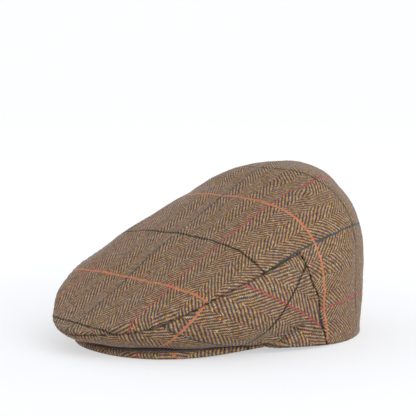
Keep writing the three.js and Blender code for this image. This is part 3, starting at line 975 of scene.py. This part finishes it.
def herringbone_tweed():
    """Wool tweed: dull, soft and slightly hairy, with round yarns that catch the light."""
    material, tree = empty_material("herringbone_tweed")
    counts = yarn_counts(tree)
    step, weft_on_top, way = herringbone(tree, counts)
    height = yarn_height(tree, counts, step, weft_on_top, way)
    weft_colour = yarn_colour(tree, counts, "weft", "warp", NAVY_WEFT)
    warp_colour = yarn_colour(tree, counts, "warp", "weft", OCHRE_WARP)
    weft_stripe, weft_second = check_stripe(tree, counts["weft number"], CHECK_WEFTS)
    warp_stripe, warp_second = check_stripe(tree, counts["warp number"], CHECK_WARPS)
    plain = add(tree, "ShaderNodeMix", {0: weft_on_top, 6: warp_colour, 7: weft_colour}, 2,
                data_type="RGBA")
    # no two floats are quite the same, and the wool was dyed and mixed in the fleece, so small
    # patches of cloth differ too
    numbers = [counts["warp number"], counts["weft number"]]
    float_place = add(tree, "ShaderNodeCombineXYZ", [*numbers, CHANCE_SEEDS["float"]])
    float_chance = add(tree, "ShaderNodeTexWhiteNoise", [float_place], 1)
    plain = varied(tree, plain, float_chance, (0.0, 1.0), FLOAT_VARIETY)
    patch_place = add(tree, "ShaderNodeUVMap", uv_map="cloth")
    patch_chance = add(tree, "ShaderNodeTexNoise", {
        "Vector": patch_place, "Scale": PATCHES_TO_METRE, "Detail": 3.0}, 1)
    plain = varied(tree, plain, patch_chance, NOISE_SPAN, PATCH_VARIETY)
    # the coloured yarns: all of their floats show, and a little of them between
    warp_on_top = add(tree, "ShaderNodeMath", [1, weft_on_top], operation="SUBTRACT")
    green_or_red = add(tree, "ShaderNodeMix", {
        0: warp_second, 6: linear(GREEN_WARP), 7: linear(RED_WARP)}, 2, data_type="RGBA")
    warp_share = check_share(tree, warp_stripe, warp_second, warp_on_top, WARP_PEEPING)
    cloth = add(tree, "ShaderNodeMix", {0: warp_share, 6: plain, 7: green_or_red}, 2, data_type="RGBA")
    orange_or_green = add(tree, "ShaderNodeMix", {
        0: weft_second, 6: linear(ORANGE_WEFT), 7: linear(GREEN_WEFT)}, 2, data_type="RGBA")
    weft_share = check_share(tree, weft_stripe, weft_second, weft_on_top, WEFT_PEEPING)
    cloth = add(tree, "ShaderNodeMix", {0: weft_share, 6: cloth, 7: orange_or_green}, 2, data_type="RGBA")
    # flecks: short lengths of bright wool spun into the yarn
    fleck_place = add(tree, "ShaderNodeCombineXYZ", [*numbers, CHANCE_SEEDS["fleck"]])
    fleck = add(tree, "ShaderNodeTexWhiteNoise", [fleck_place], None)
    is_fleck = add(tree, "ShaderNodeMath", [fleck.outputs[0], 1 - FLECK_SHARE], operation="GREATER_THAN")
    fleck_ramp = add(tree, "ShaderNodeValToRGB", [fleck.outputs[1]], None)
    fleck_ramp.color_ramp.interpolation = "CONSTANT"
    set_ramp(fleck_ramp.color_ramp, FLECKS)
    fleck_share = add(tree, "ShaderNodeMath", [is_fleck, FLECK_STRENGTH], operation="MULTIPLY")
    cloth = add(tree, "ShaderNodeMix", {
        0: fleck_share, 6: cloth, 7: fleck_ramp.outputs[0]}, 2, data_type="RGBA")
    # yarns are darker where they dive under each other, and the seams hold a little shade
    space_shade = add(tree, "ShaderNodeMapRange", [height, 0.0, 1.0, 1 - SPACE_SHADE, 1.0])
    seam_shade = add(tree, "ShaderNodeAttribute", attribute_name="seam_shade", output=2)
    for shade in (space_shade, seam_shade):
        cloth = add(tree, "ShaderNodeMix", {0: 1.0, 6: cloth, 7: shade}, 2,
                    data_type="RGBA", blend_type="MULTIPLY")
    bump = add(tree, "ShaderNodeBump", {"Strength": 0.5, "Distance": 0.25 * MM, "Height": height})
    shader = add(tree, "ShaderNodeBsdfPrincipled", {
        "Base Color": cloth, "Roughness": 0.92, "Specular IOR Level": 0.15, "Normal": bump,
        "Sheen Weight": 0.35, "Sheen Roughness": 0.25, "Sheen Tint": linear("#d6d6dc")})
    add(tree, "ShaderNodeOutputMaterial", [shader], None)
    return material


tweed = herringbone_tweed()
print("tweed has", len(tweed.node_tree.nodes), "nodes")

# %% [markdown]
# ## Lining
# The inside is lined with a thin brown satin. Its long floats make it smooth and a little shiny,
# with fine lines that lean across the cloth, and it lies in faint waves because it is only held at
# its edges. The real lines are a third of a millimetre apart and are drawn as coarse as shows.

# %% Lining
LINING_LINES = 1.2  # millimetres from line to line, along the warp
LINING_WAVES = 30  # to the metre
WAVE_SPACING = 0.2 * math.pi  # of a diagonal wave texture at a scale of 1


def satin_lining():
    """Thin satin: smooth and a little shiny, with fine lines that lean across it."""
    material, tree = empty_material("brown_satin_lining")
    place = add(tree, "ShaderNodeUVMap", uv_map="cloth")
    lines = add(tree, "ShaderNodeTexWave", {
        "Vector": place, "Scale": WAVE_SPACING / (LINING_LINES * MM), "Distortion": 1.0, "Detail": 1.0},
        1, bands_direction="DIAGONAL")
    waves = add(tree, "ShaderNodeTexNoise", {"Vector": place, "Scale": LINING_WAVES, "Detail": 3.0})
    colour = add(tree, "ShaderNodeMix", {0: lines, 6: linear("#2a1f18"), 7: linear("#3d2e23")}, 2,
                 data_type="RGBA")
    fine = add(tree, "ShaderNodeBump", {"Strength": 0.3, "Distance": 0.1 * MM, "Height": lines})
    normal = add(tree, "ShaderNodeBump", {
        "Strength": 0.6, "Distance": 2 * MM, "Height": waves, "Normal": fine})
    shader = add(tree, "ShaderNodeBsdfPrincipled", {
        "Base Color": colour, "Roughness": 0.42, "Specular IOR Level": 0.4, "Normal": normal})
    add(tree, "ShaderNodeOutputMaterial", [shader], None)
    return material


lining = satin_lining()
for piece in (top_piece, left_piece, right_piece):
    piece.data.materials.append(tweed)
    piece.data.materials.append(lining)
peak_piece.data.materials.append(tweed)
print("lining lines:", LINING_LINES, "mm apart along the warp")

# %% [markdown]
# ## Loose fibres
# Tweed is spun from carded wool, and the ends of its fibres stand out of the yarns as a thin fuzz
# that softens the outline. Hair particles could draw them, but a plain mesh keeps them everywhere, so
# Geometry Nodes strew short thin cones over the cloth, each leaning its own way. A real fibre is
# about 0.03 mm thick, and these are drawn four times coarser so that the fuzz shows at all.

# %% The fibres' nodes
FIBRE_SIZES = {"Fibres to the square metre": 120000.0, "Length": 1.5 * MM, "Thickness": 0.12 * MM}
FIBRE_LEAN = (1.1, 1.5)  # radians away from standing straight up
FIBRE_VARIETY = (0.5, 1.3)  # from fibre to fibre, as a share of its size
FIBRE_CLEARANCE = 2.2  # none stands lower than this, so that the rim rests on the table
FIBRE_SEED = 11


def loose_wool():
    """Stray wool fibres: dull, in tones from dark brown to pale grey that change at random."""
    material, tree = empty_material("loose_wool_fibres")
    place = add(tree, "ShaderNodeTexCoord", output=3)
    shade = add(tree, "ShaderNodeTexNoise", {"Vector": place, "Scale": 600.0, "Detail": 1.0})
    ramp = add(tree, "ShaderNodeValToRGB", [shade], None)
    set_ramp(ramp.color_ramp, [(0.35, "#5a5044"), (0.5, "#a88e66"), (0.65, "#b4a898")])
    shader = add(tree, "ShaderNodeBsdfPrincipled", {
        "Base Color": ramp.outputs[0], "Roughness": 0.9, "Specular IOR Level": 0.15})
    add(tree, "ShaderNodeOutputMaterial", [shader], None)
    return material


def fibre_nodes(cloth, wool):
    """A node tree that turns a cloth piece into the fibres that stand on its outer side."""
    tree = bpy.data.node_groups.new("loose_fibres", "GeometryNodeTree")
    tree.interface.new_socket("Cloth", in_out="INPUT", socket_type="NodeSocketGeometry")
    sockets = {}
    for name in FIBRE_SIZES:
        socket = tree.interface.new_socket(name, in_out="INPUT", socket_type="NodeSocketFloat")
        sockets[name] = socket.identifier
    tree.interface.new_socket("Fibres", in_out="OUTPUT", socket_type="NodeSocketGeometry")
    given = tree.nodes.new("NodeGroupInput")
    outer = add(tree, "GeometryNodeMaterialSelection", [cloth])
    place = add(tree, "ShaderNodeSeparateXYZ", [add(tree, "GeometryNodeInputPosition")], 2)
    clear = add(tree, "FunctionNodeCompare", {0: place, 1: FIBRE_CLEARANCE * MM},
                operation="GREATER_THAN")
    free = add(tree, "FunctionNodeBooleanMath", [outer, clear], operation="AND")
    points = add(tree, "GeometryNodeDistributePointsOnFaces", {
        "Mesh": given.outputs["Cloth"], "Selection": free,
        "Density": given.outputs["Fibres to the square metre"], "Seed": FIBRE_SEED}, None)
    half = add(tree, "ShaderNodeMath", [given.outputs["Thickness"], 0.5], operation="MULTIPLY")
    fibre = add(tree, "GeometryNodeMeshCone", {
        "Vertices": 3, "Radius Top": 0.0, "Radius Bottom": half, "Depth": given.outputs["Length"]})
    # a Random Value node's inputs 2 and 3 are its lowest and highest number, and output 1 is its number
    lean = add(tree, "FunctionNodeRandomValue", {
        2: FIBRE_LEAN[0], 3: FIBRE_LEAN[1], "Seed": FIBRE_SEED}, 1)
    turn = add(tree, "FunctionNodeRandomValue", {2: 0.0, 3: math.tau, "Seed": FIBRE_SEED + 1}, 1)
    leaning = add(tree, "ShaderNodeCombineXYZ", [lean, 0.0, turn])
    standing = add(tree, "FunctionNodeRotateRotation", {
        "Rotation": points.outputs["Rotation"],
        "Rotate By": add(tree, "FunctionNodeEulerToRotation", [leaning])}, rotation_space="LOCAL")
    size = add(tree, "FunctionNodeRandomValue", {
        2: FIBRE_VARIETY[0], 3: FIBRE_VARIETY[1], "Seed": FIBRE_SEED + 2}, 1)
    placed = add(tree, "GeometryNodeInstanceOnPoints", {
        "Points": points.outputs["Points"], "Instance": fibre, "Rotation": standing, "Scale": size})
    real = add(tree, "GeometryNodeRealizeInstances", [placed])
    finished = add(tree, "GeometryNodeSetMaterial", {"Geometry": real, "Material": wool})
    add(tree, "NodeGroupOutput", [finished], None)
    return tree, sockets


fibre_wool = loose_wool()
fibre_tree, fibre_sockets = fibre_nodes(tweed, fibre_wool)
print("the fibres' tree has", len(fibre_tree.nodes), "nodes and", len(fibre_sockets), "sizes")


# %% Strew the fibres over the four pieces
def fibres_on(piece):
    """The fibres of one piece as a plain mesh."""
    carrier = linked_object("carrier", piece.data)
    modifier = carrier.modifiers.new("loose_fibres", "NODES")
    modifier.node_group = fibre_tree
    for name, value in FIBRE_SIZES.items():
        modifier[fibre_sockets[name]] = value
    evaluated = carrier.evaluated_get(bpy.context.evaluated_depsgraph_get())
    mesh = bpy.data.meshes.new_from_object(evaluated)
    bpy.data.objects.remove(carrier)
    return mesh


FIBRE_FACES = 4  # three sides and a base
all_fibres = bmesh.new()
for piece in (top_piece, left_piece, right_piece, peak_piece):
    all_fibres.from_mesh(fibres_on(piece))
fibre_mesh = bpy.data.meshes.new("loose_fibres")
all_fibres.to_mesh(fibre_mesh)
all_fibres.free()
fibre_mesh.materials.append(fibre_wool)
fibre_piece = linked_object("loose_fibres", fibre_mesh)
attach(fibre_piece, "root")
print("loose fibres:", len(fibre_mesh.polygons) // FIBRE_FACES)

# %% Put the cloth in the place of the plain solids
for piece, node, slot in ((top_piece, "crown_top", "crown_tweed"),
                          (left_piece, "side_panel_left", "crown_tweed"),
                          (right_piece, "side_panel_right", "crown_tweed"),
                          (peak_piece, "peak", "peak_tweed")):
    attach(piece, "root")
    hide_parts(node)
    print(piece.name, "stands for", node)

# %% [markdown]
# ## The studio
# The cap was photographed on white, under wide soft light with hardly any shadow. White paper
# lies under it and curves up on every side, so that no edge shows from anywhere. The white
# surroundings give most of the light, and one large lamp at the wearer's left, higher than the
# cap, gives the little shade there is. A flat plane would do for one view, but not for all.
# The paper also glows a little itself, less near the cap than away from it: painted light that also lights
# the cap from below.

# %% Floor and backdrop
FLOOR_RADIUS = 5.0  # metres
CURVE_RADIUS = 2.0
CURVE_STEPS = 16
WALL_HEIGHT = 5.0
PAPER_SIDES = 96
# the paper glows though it is no lamp: painted light, dimmer near the cap, so the floor beside the cap is
# darker and the cap gets less light from below
PAPER_GLOW = (0.545, 0.65)  # near the cap, and away from it
GLOW_REACH = (0.1, 0.7)  # metres from the middle of the floor between which it grows


def paper_bowl():
    """A round floor that curves up into a wall on every side."""
    turn = np.linspace(0, math.pi / 2, CURVE_STEPS + 1)
    away = np.concatenate([FLOOR_RADIUS + CURVE_RADIUS * np.sin(turn), [FLOOR_RADIUS + CURVE_RADIUS]])
    height = np.concatenate([CURVE_RADIUS - CURVE_RADIUS * np.cos(turn), [WALL_HEIGHT]])
    around = np.linspace(0, math.tau, PAPER_SIDES, endpoint=False)
    points = [(far * math.cos(side), far * math.sin(side), up)
              for far, up in zip(away, height) for side in around]
    faces = [tuple(range(PAPER_SIDES))]
    for row in range(len(away) - 1):
        for side in range(PAPER_SIDES):
            after = (side + 1) % PAPER_SIDES
            faces.append((row * PAPER_SIDES + side, (row + 1) * PAPER_SIDES + side,
                          (row + 1) * PAPER_SIDES + after, row * PAPER_SIDES + after))
    mesh = bpy.data.meshes.new("paper_bowl")
    mesh.from_pydata(points, [], faces)
    mesh.shade_smooth()
    return linked_object("paper_bowl", mesh)


def glowing_white_paper():
    """Matt white paper that glows a little, more away from the cap than near it: painted light that lights
    the cap from below and leaves the floor darker beside it.
    """
    material, tree = empty_material("glowing_white_paper")
    place = add(tree, "ShaderNodeTexCoord", output=3)
    away = add(tree, "ShaderNodeVectorMath", [place], 1, operation="LENGTH")
    glow = add(tree, "ShaderNodeMapRange", [away, *GLOW_REACH, *PAPER_GLOW],
               interpolation_type="SMOOTHSTEP")
    shader = add(tree, "ShaderNodeBsdfPrincipled", {
        "Base Color": linear("#a2a3a5"), "Roughness": 0.9, "Specular IOR Level": 0.1,
        "Emission Color": linear("#fcfdff"), "Emission Strength": glow})
    add(tree, "ShaderNodeOutputMaterial", [shader], None)
    return material


sheet = paper_bowl()
sheet.data.materials.append(glowing_white_paper())
print("paper:", 2 * (FLOOR_RADIUS + CURVE_RADIUS), "m across,", len(sheet.data.polygons), "faces")

# %% Light
ROOM_STRENGTH = 0.85
LAMP_PLACE = (2.1, -0.1, 1.35)  # metres
LAMP_TARGET = (0, 0, 0.05)
LAMP_SIZE = 2.4
LAMP_POWER = 42  # watts

scene = bpy.context.scene
scene.view_settings.view_transform = "Standard"
world = bpy.data.worlds.new("white_room")
world.use_nodes = True
background = world.node_tree.nodes["Background"]
background.inputs["Color"].default_value = linear("#ffffff")
background.inputs["Strength"].default_value = ROOM_STRENGTH
scene.world = world
lamp = bpy.data.lights.new("right_softbox", "AREA")
lamp.size = LAMP_SIZE
lamp.energy = LAMP_POWER
softbox = linked_object("right_softbox", lamp)
softbox.location = LAMP_PLACE
lamp_direction = Vector(LAMP_TARGET) - Vector(LAMP_PLACE)
softbox.rotation_euler = lamp_direction.to_track_quat("-Z", "Y").to_euler()
print("softbox:", round(lamp_direction.length, 2), "m away,", LAMP_POWER, "W")

# %% Camera, where the photographer stood
AZIMUTH = 52.507  # degrees from the front towards the wearer's left
ELEVATION = 5.248
DISTANCE = 1007.1
TARGET = (0, RIM_MIDDLE - 30.18, 99.21)
SENSOR_WIDTH = 36
LENS = 113.2

bearing, above = math.radians(AZIMUTH), math.radians(ELEVATION)
towards_camera = np.array([
    math.sin(bearing) * math.cos(above), -math.cos(bearing) * math.cos(above), math.sin(above)])
camera_data = bpy.data.cameras.new("camera")
camera_data.sensor_width = SENSOR_WIDTH
camera_data.lens = LENS
camera = linked_object("camera", camera_data)
camera.location = (np.array(TARGET) + towards_camera * DISTANCE) * MM
camera.rotation_mode = "QUATERNION"
camera.rotation_quaternion = Vector(-towards_camera).to_track_quat("-Z", "Y")
scene.camera = camera
print("camera at", np.round(camera.location, 3), "m")
